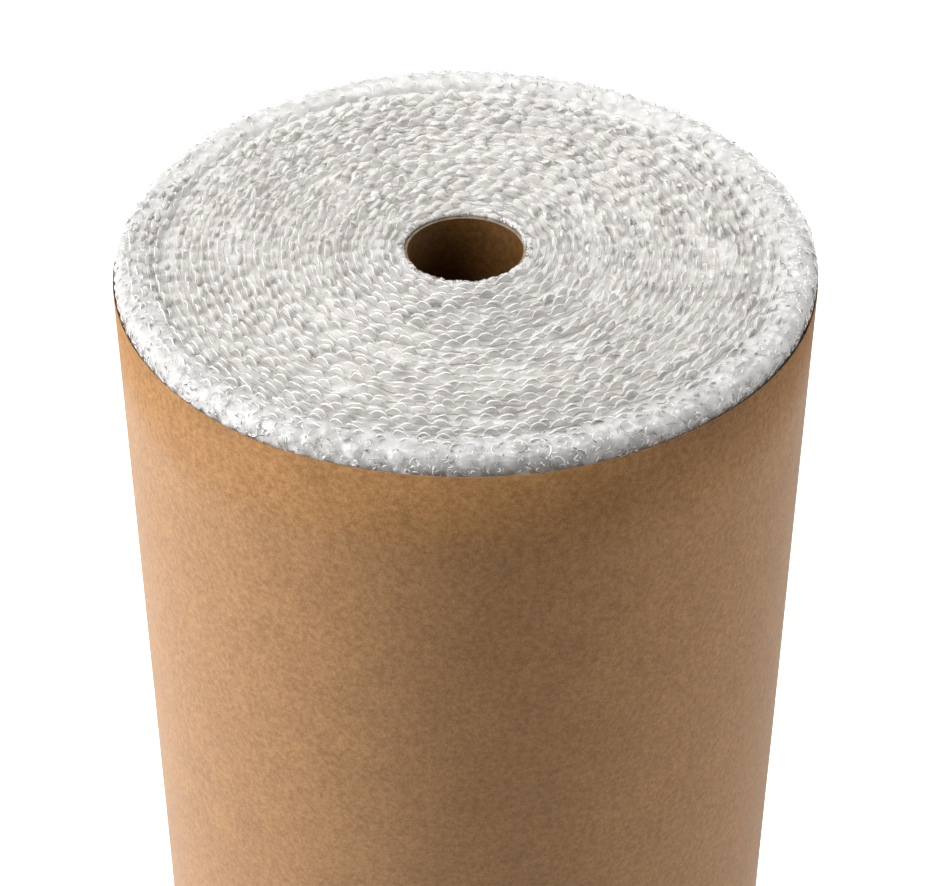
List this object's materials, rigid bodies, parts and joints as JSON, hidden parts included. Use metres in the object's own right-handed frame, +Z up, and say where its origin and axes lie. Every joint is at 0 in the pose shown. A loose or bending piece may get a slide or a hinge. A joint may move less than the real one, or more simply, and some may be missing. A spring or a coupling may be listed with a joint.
{
  "type": "bubble wrap roll",
  "caption": "Roll of clear bubble film wound on a cardboard tube, wrapped in kraft paper and stood on its end, with the film's rounded end showing above the paper.",
  "frame": {"origin": "on the floor, on the roll's axis: the middle of the lower end", "axes": "+Z up along the roll's axis; -Y is the side that the picture looks from; the paper's lap is at the back, on the +Y side"},
  "size_m": [0.4599, 0.4602, 1],
  "materials": {
    "core_board": "matt brown paperboard with a fine spiral seam",
    "film": "clear polyethylene bubble film, milky white where many turns lie together",
    "kraft": "matt brown kraft paper with fine fibres and mottling"
  },
  "bodies": {
    "root": {"core_tube": "core_board", "bubble_film": "film", "kraft_wrapper": "kraft"}
  },
  "joints": []
}
